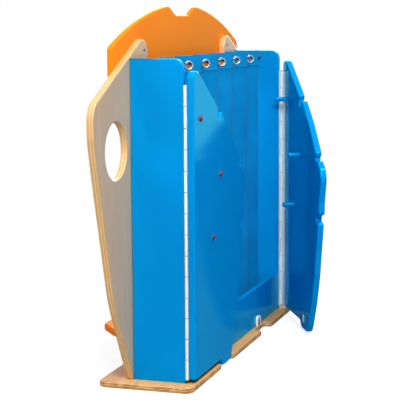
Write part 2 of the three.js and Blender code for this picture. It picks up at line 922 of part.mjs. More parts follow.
// Catch: a white bridge around a magnet, on the foot of the apron
function catchGeometry() {
  const w = catch_width / 2;
  const inner = w - catch_leg;
  const top = catch_height - catch_leg;
  const outline = filleted([
    [-w, 0, catch_leg_radius],
    [-inner, 0, catch_leg_radius],
    [-inner, top, catch_crown_radius - catch_leg / 2],
    [inner, top, catch_crown_radius - catch_leg / 2],
    [inner, 0, catch_leg_radius],
    [w, 0, catch_leg_radius],
    [w, catch_height, catch_crown_radius],
    [-w, catch_height, catch_crown_radius],
  ]);
  return facingFront(board(outline, catch_thickness, thin_edge_radius), catch_thickness);
}

function magnetGeometry() {
  const w = catch_width / 2 - catch_leg - seat_gap;
  const top = catch_height - catch_leg - seat_gap;
  const r = catch_crown_radius - catch_leg / 2;
  const outline = filleted([[-w, 0, 0], [w, 0, 0], [w, top, r], [-w, top, r]]);
  return facingFront(plate(outline, magnet_thickness), magnet_thickness);
}

function strikeGeometry() {
  const w = strike_width / 2;
  const h = strike_height / 2;
  const r = strike_corner_radius;
  const outline = filleted([[-w, -h, r], [w, -h, r], [w, h, r], [-w, h, r]]);
  return facingFront(plate(outline, strike_thickness), strike_thickness);
}

// Everything that comes in a left and a right hand. The left door is closed, the right one open.
const hands = [
  { name: 'left', side: -1, opening: 0 },
  { name: 'right', side: 1, opening: door_open_angle_deg },
];
const peg_names = ['upper', 'middle', 'lower'];
const screw_names = ['ear', 'inner'];

for (const { name, side, opening } of hands) {
  const wall_x = side > 0 ? inner_half_width : -half_width;
  add(stand, `${name}_side_wall`, wallGeometry(), blue_lacquer, wall_x, front_plane, base_thickness);
  add(stand, `${name}_wing_panel`, wingGeometry(side), birch_plywood, 0, wing_front, 0);

  screwPlaces(side).forEach(([x, z], i) => {
    const screw_name = `${name}_${screw_names[i]}_screw`;
    add(stand, screw_name, screwGeometry(), zinc_plate, x, wing_front, z);
  });

  const cleat_x = side * (inner_half_width - cleat_width / 2 - seat_gap);
  add(
    stand, `${name}_shelf_cleat`, block(cleat_width, cleatDepth() - seat_gap, cleat_height),
    birch_plywood, cleat_x, wing_front - (cleatDepth() + seat_gap) / 2,
    shelf_underside - cleat_height / 2,
  );

  const socket = sleeve(socket_diameter, rod_diameter + 2 * running_gap, socket_length);
  add(
    stand, `${name}_rod_socket`, socket.rotateY(-side * Math.PI / 2),
    nickel_plate, side * inner_half_width, rod_y, rod_height,
  );

  const wall_leaf = mirrored(leafGeometry(0, wall_leaf_width, 1), side);
  add(stand, `${name}_hinge_wall_leaf`, wall_leaf, nickel_plate, side * hinge_x, hinge_y, hinge_bottom);
  add(stand, `${name}_hinge_pin`, pinGeometry(), nickel_plate, side * hinge_x, hinge_y, hinge_bottom);

  const catch_y = front_plane;
  add(
    stand, `${name}_catch_housing`, catchGeometry(), white_plastic,
    side * catch_x, catch_y - catch_thickness, base_thickness,
  );
  add(
    stand, `${name}_catch_magnet`, magnetGeometry(), black_ferrite,
    side * catch_x, catch_y - magnet_thickness, base_thickness,
  );

  // The door turns about the hinge's axis and carries its leaf, pegs, caps and strike
  const door = new THREE.Group();
  door.position.set(side * hinge_x, hinge_y, 0);
  door.rotation.z = side * THREE.MathUtils.degToRad(opening);
  stand.add(door);
  const inner_face = -hinge_gap / 2;
  const outer_face = inner_face - door_thickness;
  add(door, `${name}_door_panel`, mirrored(doorGeometry(), side), blue_lacquer, 0, outer_face, 0);
  const door_leaf = mirrored(leafGeometry(1, door_leaf_width, -1), side);
  add(door, `${name}_hinge_door_leaf`, door_leaf, nickel_plate, 0, 0, hinge_bottom);
  pegPlaces().forEach(([x, z], i) => {
    const peg_y = inner_face + seat_gap;
    add(door, `${name}_${peg_names[i]}_peg`, pegGeometry(), blue_lacquer, side * x, peg_y, z);
    const cap_y = outer_face - seat_gap;
    add(door, `${name}_${peg_names[i]}_cap`, capGeometry(), red_enamel, side * x, cap_y, z);
  });
  add(
    door, `${name}_strike_plate`, strikeGeometry(), nickel_plate,
    -side * (hinge_outboard + catch_reach), inner_face + seat_gap, base_thickness + strike_centre,
  );
}

export default stand;
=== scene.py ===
import json
from math import cos, pi, radians, sin, tau

import bmesh
import bpy
import numpy as np
from mathutils import Matrix, Vector


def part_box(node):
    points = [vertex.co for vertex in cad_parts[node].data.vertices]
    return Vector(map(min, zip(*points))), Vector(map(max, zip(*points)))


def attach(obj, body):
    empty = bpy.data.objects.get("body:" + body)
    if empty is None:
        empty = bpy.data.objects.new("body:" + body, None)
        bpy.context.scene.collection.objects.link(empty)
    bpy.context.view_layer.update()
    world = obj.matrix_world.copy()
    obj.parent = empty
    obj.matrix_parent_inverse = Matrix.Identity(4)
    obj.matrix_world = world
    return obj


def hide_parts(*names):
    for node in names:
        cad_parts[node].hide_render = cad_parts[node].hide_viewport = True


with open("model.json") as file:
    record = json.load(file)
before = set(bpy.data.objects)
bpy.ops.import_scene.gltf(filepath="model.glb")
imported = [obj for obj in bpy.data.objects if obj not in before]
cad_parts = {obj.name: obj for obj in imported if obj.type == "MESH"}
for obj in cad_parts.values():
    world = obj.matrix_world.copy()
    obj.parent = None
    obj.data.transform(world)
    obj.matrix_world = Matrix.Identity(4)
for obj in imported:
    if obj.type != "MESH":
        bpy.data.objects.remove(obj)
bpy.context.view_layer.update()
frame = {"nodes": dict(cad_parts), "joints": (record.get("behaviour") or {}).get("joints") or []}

# Camera: a long lens to the left of the stand and in front of it, as high as the crown board, so that
# the side wall and the closed door both show. Its place and turn follow from the boards' straight edges.
camera_place = Vector((-2.8265, -0.9088, 0.7327))
look_azimuth, look_down, camera_roll = radians(71.947), radians(7.666), radians(-0.367)
camera_lens, sensor_width, sight_limit = 119.08, 36.0, 50.0

look = Vector((sin(look_azimuth) * cos(look_down), cos(look_azimuth) * cos(look_down), -sin(look_down)))
level_right = look.cross(Vector((0, 0, 1))).normalized()
level_up = level_right.cross(look)
camera_right = level_right * cos(camera_roll) + level_up * sin(camera_roll)
camera_up = level_up * cos(camera_roll) - level_right * sin(camera_roll)

camera = bpy.data.objects.new("camera", bpy.data.cameras.new("camera"))
bpy.context.scene.collection.objects.link(camera)
camera.data.lens = camera_lens
camera.data.sensor_width = sensor_width
camera.data.clip_end = sight_limit
camera_turn = Matrix((camera_right, camera_up, -look)).transposed()
camera.matrix_world = Matrix.Translation(camera_place) @ camera_turn.to_4x4()
bpy.context.scene.camera = camera
bpy.context.scene.view_settings.view_transform = "Standard"


# Floor and light: a pale floor that runs out to white, four large soft lamps, the strongest of them high
# up at the left and in front, and a plain white world. White comes from the floor's and the world's own
# colour and not from more light.
def linear(hex_colour):
    """sRGB hex to linear: v / 12.92 below 0.04045, and ((v + 0.055) / 1.055) to the power 2.4 above it."""
    v = np.array([int(hex_colour[i:i + 2], 16) for i in (1, 3, 5)]) / 255
    return tuple(np.where(v < 0.04045, v / 12.92, ((v + 0.055) / 1.055) ** 2.4)) + (1.0,)


def add_node(tree, kind, inputs=None, **settings):
    """Adds a node, sets its settings, and fills its inputs with values or links."""
    node = tree.nodes.new(kind)
    for key, value in settings.items():
        setattr(node, key, value)
    for key, value in (inputs or {}).items():
        if isinstance(value, bpy.types.NodeSocket):
            tree.links.new(value, node.inputs[key])
        else:
            node.inputs[key].default_value = value
    return node


def new_material(name):
    """An empty material with its output node: (material, tree, output)."""
    material = bpy.data.materials.new(name)
    material.use_nodes = True
    material.node_tree.nodes.clear()
    return material, material.node_tree, material.node_tree.nodes.new("ShaderNodeOutputMaterial")


floor_half, floor_sink = 12.0, 0.0006
floor_corners = [
    (x * floor_half, y * floor_half, -floor_sink) for x, y in ((-1, -1), (1, -1), (1, 1), (-1, 1))]
floor_mesh = bpy.data.meshes.new("floor")
floor_mesh.from_pydata(floor_corners, [], [(0, 1, 2, 3)])
floor = bpy.data.objects.new("floor", floor_mesh)
bpy.context.scene.collection.objects.link(floor)

floor_material, tree, output = new_material("pale_floor")
rays = add_node(tree, "ShaderNodeLightPath")
matte = add_node(tree, "ShaderNodeBsdfDiffuse", {"Color": linear("#b8b8b8")})
soft_grey = add_node(tree, "ShaderNodeBsdfDiffuse", {"Color": linear("#808080")})
white_glow = add_node(tree, "ShaderNodeEmission", {"Color": linear("#ffffff"), "Strength": 1.0})
floor_place = add_node(tree, "ShaderNodeTexCoord").outputs["Object"]
distance = add_node(tree, "ShaderNodeVectorMath", {0: floor_place}, operation="LENGTH")
# What a kind of ray sees: a floor that glows a little near the stand and fades to white between two
# distances. Glossy rays see it grey for longer, so that the boards mirror a floor and no empty white.
choice = matte
for ray, tone, near_glow, near, far in (
        ("Is Glossy Ray", soft_grey, 0.02, 3.8, 5.0), ("Is Transmission Ray", matte, 0.74, 0.9, 2.2),
        ("Is Camera Ray", matte, 0.74, 0.9, 2.2)):
    glow = add_node(tree, "ShaderNodeEmission", {"Color": linear("#ffffff"), "Strength": near_glow})
    both = add_node(tree, "ShaderNodeAddShader", {0: tone.outputs[0], 1: glow.outputs[0]})
    faded = add_node(tree, "ShaderNodeMapRange", {
        "Value": distance.outputs["Value"], "From Min": near, "From Max": far})
    seen_floor = add_node(tree, "ShaderNodeMixShader", {
        0: faded.outputs[0], 1: both.outputs[0], 2: white_glow.outputs[0]})
    choice = add_node(tree, "ShaderNodeMixShader", {
        0: rays.outputs[ray], 1: choice.outputs[0], 2: seen_floor.outputs[0]})
tree.links.new(choice.outputs[0], output.inputs["Surface"])
floor_mesh.materials.append(floor_material)

room_light, seen_light = 0.11, 1.0
world = bpy.data.worlds.new("white_room")
bpy.context.scene.world = world
world.use_nodes = True
tree = world.node_tree
tree.nodes.clear()
output = tree.nodes.new("ShaderNodeOutputWorld")
rays = add_node(tree, "ShaderNodeLightPath")
seen = add_node(tree, "ShaderNodeMath", {0: rays.outputs["Is Camera Ray"], 1: rays.outputs["Is Glossy Ray"]},
                operation="MAXIMUM")
seen = add_node(tree, "ShaderNodeMath", {0: seen.outputs[0], 1: rays.outputs["Is Transmission Ray"]},
                operation="MAXIMUM")
strength = add_node(tree, "ShaderNodeMapRange", {
    "Value": seen.outputs[0], "To Min": room_light, "To Max": seen_light})
sky = add_node(tree, "ShaderNodeBackground", {"Color": linear("#ffffff"), "Strength": strength.outputs[0]})
tree.links.new(sky.outputs[0], output.inputs["Surface"])


def soft_lamp(name, place, target, size, power):
    """A square area lamp at a place, turned towards a target, both in metres."""
    lamp = bpy.data.objects.new(name, bpy.data.lights.new(name, "AREA"))
    bpy.context.scene.collection.objects.link(lamp)
    lamp.data.shape = "SQUARE"
    lamp.data.size = size
    lamp.data.energy = power
    lamp.location = place
    lamp.rotation_mode = "QUATERNION"
    lamp.rotation_quaternion = (Vector(target) - Vector(place)).to_track_quat("-Z", "Y")


stand_middle = (0.0, 0.0, 0.35)
for name, place, size, power in (
        ("key_lamp", (-2.3, -1.15, 2.3), 1.1, 79), ("top_lamp", (-0.5, -1.3, 3.0), 1.0, 48),
        ("back_lamp", (-2.0, 2.6, 1.9), 1.8, 44), ("side_lamp", (3.0, 0.9, 1.6), 1.8, 48)):
    soft_lamp(name, place, stand_middle, size, power)


# Base plate: birch plywood, sawn, rounded over along its edge and clear-coated. The light and dark
# plies show on its edge with burnt glue between them, and the outer ply shows long grain on its face.
def darkened(hex_colour, share):
    """The linear colour of a hex value with only a share of its light."""
    return [part * share for part in linear(hex_colour)[:3]] + [1.0]


def birch_plywood(name, through, start, thickness, plies, grain, gloss, burn, face_tone, figure_tone,
                  edge_tone, end_tone):
    """Clear-coated birch plywood, with its plies stacked along one axis and its face grain along another.
    Ply number = floor((coordinate - start) / ply thickness); odd plies are end grain and darker, and a dark
    glue line lies where two plies meet. Plies are drawn about twice as thick as real ones, and the glue
    thicker still, so that they show. The grain is noise stretched along one axis. Gloss scales the coat's
    Fresnel shine, and burn the darkness of the glue."""
    glue_half, ply_wander, end_margin, core_share = 0.0007, 0.35, 0.02, 0.9
    grain_width, grain_length, figure_width, figure_length = 0.0035, 0.12, 0.03, 0.4
    wanders_per_metre, burns_per_metre = 18.0, 60.0
    glue_share = glue_half / (thickness / plies)
    material, tree, output = new_material(name)
    place = add_node(tree, "ShaderNodeTexCoord").outputs["Object"]
    depth = add_node(tree, "ShaderNodeSeparateXYZ", {0: place}).outputs[through]
    # Grain: fine fibres, and a broad figure that clouds them.
    stretch = [1 / grain_width] * 3
    stretch[grain] = 1 / grain_length
    grain_place = add_node(tree, "ShaderNodeMapping", {"Vector": place, "Scale": stretch})
    fibre = add_node(tree, "ShaderNodeTexNoise", {
        "Vector": grain_place.outputs[0], "Scale": 1.0, "Detail": 4.0, "Roughness": 0.6})
    stretch = [1 / figure_width] * 3
    stretch[grain] = 1 / figure_length
    figure_place = add_node(tree, "ShaderNodeMapping", {"Vector": place, "Scale": stretch})
    figure = add_node(tree, "ShaderNodeTexNoise", {
        "Vector": figure_place.outputs[0], "Scale": 1.0, "Detail": 3.0, "Distortion": 0.8})
    # Plies, counted from the start, each a little uneven in thickness.
    wander = add_node(tree, "ShaderNodeTexNoise", {
        "Vector": place, "Scale": wanders_per_metre, "Detail": 2.0})
    wander = add_node(tree, "ShaderNodeMath", {0: wander.outputs[0], 1: 0.5}, operation="SUBTRACT")
    layer = add_node(tree, "ShaderNodeMapRange", {
        "Value": depth, "From Min": start, "From Max": start + thickness, "To Min": 0.0, "To Max": plies})
    layer = add_node(tree, "ShaderNodeMath", {0: wander.outputs[0], 1: ply_wander, 2: layer.outputs[0]},
                     operation="MULTIPLY_ADD")
    layer = add_node(tree, "ShaderNodeClamp", {
        "Value": layer.outputs[0], "Min": end_margin, "Max": plies - end_margin})
    number = add_node(tree, "ShaderNodeMath", {0: layer.outputs[0]}, operation="FLOOR")
    part = add_node(tree, "ShaderNodeMath", {0: layer.outputs[0]}, operation="FRACT")
    odd = add_node(tree, "ShaderNodeMath", {0: number.outputs[0], 1: 2.0}, operation="MODULO")
    # Glue lines: at the joints between plies only, and burnt darker in places.
    middle = add_node(tree, "ShaderNodeMath", {0: part.outputs[0], 1: 0.5}, operation="SUBTRACT")
    middle = add_node(tree, "ShaderNodeMath", {0: middle.outputs[0]}, operation="ABSOLUTE")
    glue = add_node(tree, "ShaderNodeMapRange", {
        "Value": middle.outputs[0], "From Min": 0.5 - glue_share, "From Max": 0.5})
    above_first = add_node(tree, "ShaderNodeMath", {0: layer.outputs[0], 1: 0.5}, operation="GREATER_THAN")
    below_last = add_node(tree, "ShaderNodeMath", {0: layer.outputs[0], 1: plies - 0.5},
                          operation="LESS_THAN")
    inner = add_node(tree, "ShaderNodeMath", {0: above_first.outputs[0], 1: below_last.outputs[0]},
                     operation="MULTIPLY")
    glue = add_node(tree, "ShaderNodeMath", {0: glue.outputs[0], 1: inner.outputs[0]}, operation="MULTIPLY")
    burnt = add_node(tree, "ShaderNodeTexNoise", {"Vector": place, "Scale": burns_per_metre, "Detail": 2.0})
    burnt = add_node(tree, "ShaderNodeMapRange", {
        "Value": burnt.outputs[0], "From Min": 0.4, "From Max": 0.62, "To Min": 0.15, "To Max": 1.0})
    glue = add_node(tree, "ShaderNodeMath", {0: glue.outputs[0], 1: burnt.outputs[0]}, operation="MULTIPLY")
    # Colours of the outer plies, then of the inner ones, then of the glue.
    pale = add_node(tree, "ShaderNodeValToRGB", {"Fac": fibre.outputs[0]})
    pale.color_ramp.elements[0].position = 0.3
    pale.color_ramp.elements[0].color = darkened(face_tone, 0.78)
    pale.color_ramp.elements[1].position = 0.68
    pale.color_ramp.elements[1].color = linear(face_tone)
    figure_amount = add_node(tree, "ShaderNodeMapRange", {
        "Value": figure.outputs[0], "From Min": 0.4, "From Max": 0.75, "To Min": 0.0, "To Max": 0.35})
    figured = add_node(tree, "ShaderNodeMixRGB", {
        "Fac": figure_amount.outputs[0], "Color1": pale.outputs[0], "Color2": linear(figure_tone)})
    core = add_node(tree, "ShaderNodeMixRGB", {
        "Fac": fibre.outputs[0], "Color1": darkened(edge_tone, 0.8), "Color2": linear(edge_tone)})
    core = add_node(tree, "ShaderNodeMixRGB", {
        "Fac": odd.outputs[0], "Color1": core.outputs[0], "Color2": linear(end_tone)})
    cored = add_node(tree, "ShaderNodeMath", {0: inner.outputs[0], 1: core_share}, operation="MULTIPLY")
    ply_colour = add_node(tree, "ShaderNodeMixRGB", {
        "Fac": cored.outputs[0], "Color1": figured.outputs[0], "Color2": core.outputs[0]})
    glue_amount = add_node(tree, "ShaderNodeMath", {0: glue.outputs[0], 1: burn}, operation="MULTIPLY")
    ply_colour = add_node(tree, "ShaderNodeMixRGB", {
        "Fac": glue_amount.outputs[0], "Color1": ply_colour.outputs[0], "Color2": linear("#5a3519")})
    # Clear coat: a mirror over the wood, more of it the flatter the view.
    height = add_node(tree, "ShaderNodeMath", {0: fibre.outputs[0], 1: glue.outputs[0]}, operation="SUBTRACT")
    bump = add_node(tree, "ShaderNodeBump", {
        "Strength": 0.2, "Distance": 0.0003, "Height": height.outputs[0]})
    rough = add_node(tree, "ShaderNodeMapRange", {
        "Value": fibre.outputs[0], "To Min": 0.26, "To Max": 0.4})
    wood = add_node(tree, "ShaderNodeBsdfPrincipled", {
        "Base Color": ply_colour.outputs[0], "Roughness": 0.6, "Normal": bump.outputs[0],
        "Specular IOR Level": 0.0})
    mirror = add_node(tree, "ShaderNodeBsdfGlossy", {
        "Color": linear("#f8f8f8"), "Roughness": rough.outputs[0], "Normal": bump.outputs[0]})
    edge_on = add_node(tree, "ShaderNodeFresnel", {"IOR": 1.52, "Normal": bump.outputs[0]})
    shine = add_node(tree, "ShaderNodeMath", {0: edge_on.outputs[0], 1: gloss}, operation="MULTIPLY")
    shader = add_node(tree, "ShaderNodeMixShader", {
        0: shine.outputs[0], 1: wood.outputs[0], 2: mirror.outputs[0]})
    tree.links.new(shader.outputs[0], output.inputs["Surface"])
    return material


def finish_board(name, material):
    """Gives a board of the frame its finish. Weld joins its loose triangles, a split keeps drilled holes
    crisp, and face-area normals keep its faces flat while its rounded edges shade smoothly."""
    weld_reach, crisp_angle, flat_weight = 0.00001, radians(55), 100
    board = frame["nodes"][name]
    for held in board.material_slots:
        held.link = "OBJECT"
        held.material = material
    board.data.polygons.foreach_set("use_smooth", np.ones(len(board.data.polygons), bool))
    board.modifiers.new("weld", "WELD").merge_threshold = weld_reach
    board.modifiers.new("crisp_holes", "EDGE_SPLIT").split_angle = crisp_angle
    smooth = board.modifiers.new("flat_faces", "WEIGHTED_NORMAL")
    smooth.mode = "FACE_AREA"
    smooth.weight = flat_weight


def span(name, axis):
    """Start and thickness of a board along an axis, from its place in the frame."""
    low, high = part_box(name)
    return low[axis], high[axis] - low[axis]


base_plies, base_gloss, base_burn = 5, 0.12, 2.0
base_tones = ("#dfab74", "#c08c56", "#f2cd96", "#da9450")
base_birch = birch_plywood("clear_birch_base", 2, *span("base_plate", 2), base_plies, 0, base_gloss,
                           base_burn, *base_tones)
finish_board("base_plate", base_birch)

# Wing panels: 15 mm birch plywood, clear-coated, grain upright, with a sawn and rounded look-out hole.
# The coat shines at a flat angle and greys the wood, and the face tones are drawn a little greyer than the
# base plate's birch too, as painted shade. The cleats under the shelf are cut from the base plate's birch.
wing_plies, wing_gloss, wing_burn = 5, 1.5, 0.3
# The wings' face tones are a little greyer and cooler than the base's: painted shade.
wing_tones_painted_shade = ("#d3ad78", "#bb9866", "#f8d49c", "#e2a45a")
cleat_plies, cleat_burn = 3, 0.9
wing_birch = birch_plywood("clear_birch_wing_painted_shade", 1, *span("left_wing_panel", 1), wing_plies, 2, wing_gloss,
                           wing_burn, *wing_tones_painted_shade)
finish_board("left_wing_panel", wing_birch)
finish_board("right_wing_panel", wing_birch)
cleat_birch = birch_plywood("clear_birch_cleat", 2, *span("left_shelf_cleat", 2), cleat_plies, 1, base_gloss,
                            cleat_burn, *base_tones)
finish_board("left_shelf_cleat", cleat_birch)
finish_board("right_shelf_cleat", cleat_birch)


# Side walls, apron and doors: plywood under sprayed blue lacquer. It is glossy, with a faint orange
# peel, and the grain of the birch just shows through it in raking light.
def sprayed_lacquer(name, hex_colour, shade, gloss_tint, pale_tint, grain, roughness=0.1):
    """Sprayed lacquer on birch: a colour that varies by a few percent under a gloss that it tints, with
    grain ridges 3 mm apart stretched along one axis, and orange peel of 5 mm. The gloss follows Fresnel,
    and its tint pales towards grazing views."""
    ridge_pitch, ridge_length, peel_width, clouds_per_metre = 0.003, 0.15, 0.005, 7.0
    peel_share, smoother, rougher = 0.5, 0.04, 0.06
    material, tree, output = new_material(name)
    place = add_node(tree, "ShaderNodeTexCoord").outputs["Object"]
    stretch = [1 / ridge_pitch] * 3
    stretch[grain] = 1 / ridge_length
    ridges = add_node(tree, "ShaderNodeMapping", {"Vector": place, "Scale": stretch})
    ridges = add_node(tree, "ShaderNodeTexNoise", {"Vector": ridges.outputs[0], "Scale": 1.0, "Detail": 3.0})
    peel = add_node(tree, "ShaderNodeTexNoise", {"Vector": place, "Scale": 1 / peel_width, "Detail": 1.0})
    clouds = add_node(tree, "ShaderNodeTexNoise", {
        "Vector": place, "Scale": clouds_per_metre, "Detail": 3.0})
    colour = add_node(tree, "ShaderNodeMixRGB", {
        "Fac": clouds.outputs[0], "Color1": linear(shade), "Color2": linear(hex_colour)})
    relief = add_node(tree, "ShaderNodeMath", {0: peel.outputs[0], 1: peel_share, 2: ridges.outputs[0]},
                      operation="MULTIPLY_ADD")
    bump = add_node(tree, "ShaderNodeBump", {
        "Strength": 0.05, "Distance": 0.0002, "Height": relief.outputs[0]})
    rough = add_node(tree, "ShaderNodeMapRange", {
        "Value": clouds.outputs[0], "To Min": roughness - smoother, "To Max": roughness + rougher})
    paint = add_node(tree, "ShaderNodeBsdfPrincipled", {
        "Base Color": colour.outputs[0], "Roughness": 0.5, "Normal": bump.outputs[0],
        "Specular IOR Level": 0.0})
    edge_on = add_node(tree, "ShaderNodeFresnel", {"IOR": 1.5, "Normal": bump.outputs[0]})
    paling = add_node(tree, "ShaderNodeMapRange", {
        "Value": edge_on.outputs[0], "From Min": 0.04, "From Max": 0.3})
    tinted = add_node(tree, "ShaderNodeMixRGB", {
        "Fac": paling.outputs[0], "Color1": linear(gloss_tint), "Color2": linear(pale_tint)})
    mirror = add_node(tree, "ShaderNodeBsdfGlossy", {
        "Color": tinted.outputs[0], "Roughness": rough.outputs[0], "Normal": bump.outputs[0]})
    shader = add_node(tree, "ShaderNodeMixShader", {
        0: edge_on.outputs[0], 1: paint.outputs[0], 2: mirror.outputs[0]})
    tree.links.new(shader.outputs[0], output.inputs["Surface"])
    return material


blue_tones = ("#0591df", "#0188d6", "#2cfff4", "#80ffff")
wall_blue = sprayed_lacquer("blue_lacquer_upright", *blue_tones, 2)
apron_blue = sprayed_lacquer("blue_lacquer_level", *blue_tones, 0)
for name in ("left_side_wall", "right_side_wall", "left_door_panel", "right_door_panel"):
    finish_board(name, wall_blue)
finish_board("front_apron", apron_blue)

# Crown board and rear shelf: the same plywood under orange lacquer, sprayed satin, so that it takes a
# broad soft light and no sharp one. The grain runs across the stand. The shelf's copy of the lacquer is
# drawn redder, with a less pale gloss tint: painted shade.
crown_tones, crown_roughness = ("#ff8b1a", "#fd8014", "#ffb858", "#ffcf80"), 0.34
# The shelf's tones are the crown's lacquer drawn redder, as painted shade.
shelf_tones_painted_shade, shelf_roughness = ("#ff8430", "#fa7826", "#ff9048", "#ff9c58"), 0.4
crown_orange = sprayed_lacquer("orange_lacquer_level", *crown_tones, 0, crown_roughness)
finish_board("crown_board", crown_orange)
shelf_orange_painted_shade = sprayed_lacquer("orange_lacquer_shelf_painted_shade", *shelf_tones_painted_shade, 0, shelf_roughness)
finish_board("rear_shelf", shelf_orange_painted_shade)


# Piano hinges: nickel-plated strip rolled into knuckles round a wire pin, one leaf on the wall's front
# edge and one on the door's inner face, each held by a row of small cross-recess screws. The dull plate
# scatters the light and looks nearly white.
def grid_faces(rows, columns, close_rows=False, close_columns=False):
    """Quads of a grid of rows x columns points, numbered row by row, closed into rings where asked."""
    i, j = np.meshgrid(np.arange(rows - (not close_rows)), np.arange(columns - (not close_columns)),
                       indexing="ij")
    i, j = i.ravel(), j.ravel()
    down, over = (i + 1) % rows, (j + 1) % columns
    return np.stack([i * columns + j, i * columns + over, down * columns + over, down * columns + j], 1)


def swept(section, starts, lengths):
    """Closed solids: a closed section (n, 2) in XY carried along Z from each start over each length,
    with a fan of faces over each end. Point = (section x, section y, start or start + length)."""
    n = len(section)
    points, faces = [], []
    for k, (start, length) in enumerate(zip(starts, lengths)):
        for z in (start, start + length):
            points.append(np.column_stack([section, np.full(n, z)]))
        first = 2 * n * k
        faces += [tuple(f) for f in grid_faces(2, n, close_columns=True) + first]
        faces.append(tuple(range(first + n - 1, first - 1, -1)))
        faces.append(tuple(range(first + n, first + 2 * n)))
    return np.concatenate(points), faces


def turned(profile, sides=32):
    """Surface of revolution about Z: point = (r cos t, r sin t, h) for profile rows (r, h). Rows at r = 0
    close to a pole, and a profile whose first and last rows agree closes on itself."""
    profile = np.asarray(profile, float)
    ring = np.allclose(profile[0], profile[-1])
    rows = profile[:-1] if ring else profile
    t = np.arange(sides) * tau / sides
    r, h = rows[:, :1], rows[:, 1:]
    points = np.stack([r * np.cos(t), r * np.sin(t), h + 0 * t], -1).reshape(-1, 3)
    return points, [tuple(f) for f in grid_faces(len(rows), sides, close_rows=ring, close_columns=True)]


def joined(*solids):
    """Several (points, faces) pairs as one."""
    points, faces, count = [], [], 0
    for some_points, some_faces in solids:
        points.append(some_points)
        faces += [tuple(int(v) + count for v in face) for face in some_faces]
        count += len(some_points)
    return np.concatenate(points), faces


def turn(axis, angle):
    """The 3 x 3 turn about X, Y or Z."""
    return np.array(Matrix.Rotation(angle, 3, axis))


def new_piece(name, solid, material, body, sharp_angle=40):
    """A mesh piece whose points are in place already, its doubles merged and its faces turned outwards,
    riding on a body. Edges sharper than the angle in degrees stay crisp."""
    merge_reach, sliver_length = 1e-7, 1e-8
    points, faces = solid
    mesh = bpy.data.meshes.new(name)
    mesh.from_pydata(points.tolist(), [], [tuple(int(v) for v in face) for face in faces])
    work = bmesh.new()
    work.from_mesh(mesh)
    bmesh.ops.remove_doubles(work, verts=work.verts, dist=merge_reach)
    bmesh.ops.dissolve_degenerate(work, edges=work.edges, dist=sliver_length)
    bmesh.ops.recalc_face_normals(work, faces=work.faces)
    for edge in work.edges:
        edge.smooth = edge.is_manifold and edge.calc_face_angle(0) < radians(sharp_angle)
    for face in work.faces:
        face.smooth = True
    work.to_mesh(mesh)
    work.free()
    mesh.materials.append(material)
    piece = bpy.data.objects.new(name, mesh)
    bpy.context.scene.collection.objects.link(piece)
    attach(piece, body)
    return piece


def plated_metal(name, hex_colour, roughness, streak_axis=2, streak=0.06, metallic=1.0):
    """Plated steel with drawing lines along one axis, which break up its roughness, and slow clouding over
    20 mm. The lines are drawn 0.6 mm apart, coarser than real ones, so that they show. Bright plate is full
    metal; a low metallic share gives the milky look of dull plate, which scatters most of its light."""
    line_pitch, line_length, cloud_width, dull_share = 0.0006, 0.04, 0.02, 0.9
    material, tree, output = new_material(name)
    place = add_node(tree, "ShaderNodeTexCoord").outputs["Object"]
    stretch = [1 / line_pitch] * 3
    stretch[streak_axis] = 1 / line_length
    lines = add_node(tree, "ShaderNodeMapping", {"Vector": place, "Scale": stretch})
    lines = add_node(tree, "ShaderNodeTexNoise", {"Vector": lines.outputs[0], "Scale": 1.0, "Detail": 2.0})
    clouds = add_node(tree, "ShaderNodeTexNoise", {"Vector": place, "Scale": 1 / cloud_width, "Detail": 2.0})
    mixed = add_node(tree, "ShaderNodeMath", {0: lines.outputs[0], 1: clouds.outputs[0]}, operation="ADD")
    rough = add_node(tree, "ShaderNodeMapRange", {
        "Value": mixed.outputs[0], "From Min": 0.6, "From Max": 1.4,
        "To Min": roughness - streak, "To Max": roughness + streak})
    colour = add_node(tree, "ShaderNodeMixRGB", {
        "Fac": clouds.outputs[0], "Color1": linear(hex_colour), "Color2": darkened(hex_colour, dull_share)})
    bump = add_node(tree, "ShaderNodeBump", {
        "Strength": 0.04, "Distance": 0.0001, "Height": lines.outputs[0]})
    shader = add_node(tree, "ShaderNodeBsdfPrincipled", {
        "Base Color": colour.outputs[0], "Roughness": rough.outputs[0], "Normal": bump.outputs[0],
        "Metallic": metallic})
    tree.links.new(shader.outputs[0], output.inputs["Surface"])
    return material


def cross_head(radius, dome, rim, recess):
    """A screw head on Z = 0 that faces +Z: height = rim + dome (1 - (r / radius)^2) less a cross-shaped
    recess whose depth falls off smoothly past its arms, with a straight side down to Z = 0."""
    sides, rings = 32, 12
    arm, width = 0.62 * radius, 0.17 * radius
    flank_end, arm_end, arm_slope = 1.35, 1.15, 3
    t = np.arange(sides) * tau / sides
    r = radius * np.linspace(0, 1, rings)[:, None]
    x, y = r * np.cos(t), r * np.sin(t)
    across = np.minimum(np.abs(x), np.abs(y)) / width
    along = np.maximum(np.abs(x), np.abs(y)) / arm
    inside = np.clip(flank_end - across, 0, 1) * np.clip((arm_end - along) * arm_slope, 0, 1)
    z = rim + dome * (1 - (r / radius) ** 2) - recess * inside
    top = np.stack([x, y, z + 0 * t], -1).reshape(-1, 3)
    foot = np.stack([radius * np.cos(t), radius * np.sin(t), 0 * t], -1)
    middle = np.zeros((sides, 3))
    points = np.concatenate([top, foot, middle])
    return points, [tuple(f) for f in grid_faces(rings + 2, sides, close_columns=True)]


nickel = plated_metal("nickel_plate", "#eefaff", 0.45, streak=0.04, metallic=0.1)
steel_wire = plated_metal("steel_wire", "#62676b", 0.4, streak=0.04)
knuckle_count, leaf_screws, roll_steps, pin_sides = 14, 8, 28, 20
barrel_radius, strip, knuckle_gap, leaf_root = 0.003, 0.001, 0.0014, 0.0036
pin_radius, pin_head_radius, pin_head_height = 0.0016, 0.0025, 0.0012
screw_radius, screw_dome = 0.0027, 0.0004
wall_leaf_width, door_leaf_width = 0.014, 0.025
strip_ease_share, pin_ease_share = 0.35, 0.8
roll_end, door_ajar = radians(330), radians(28)


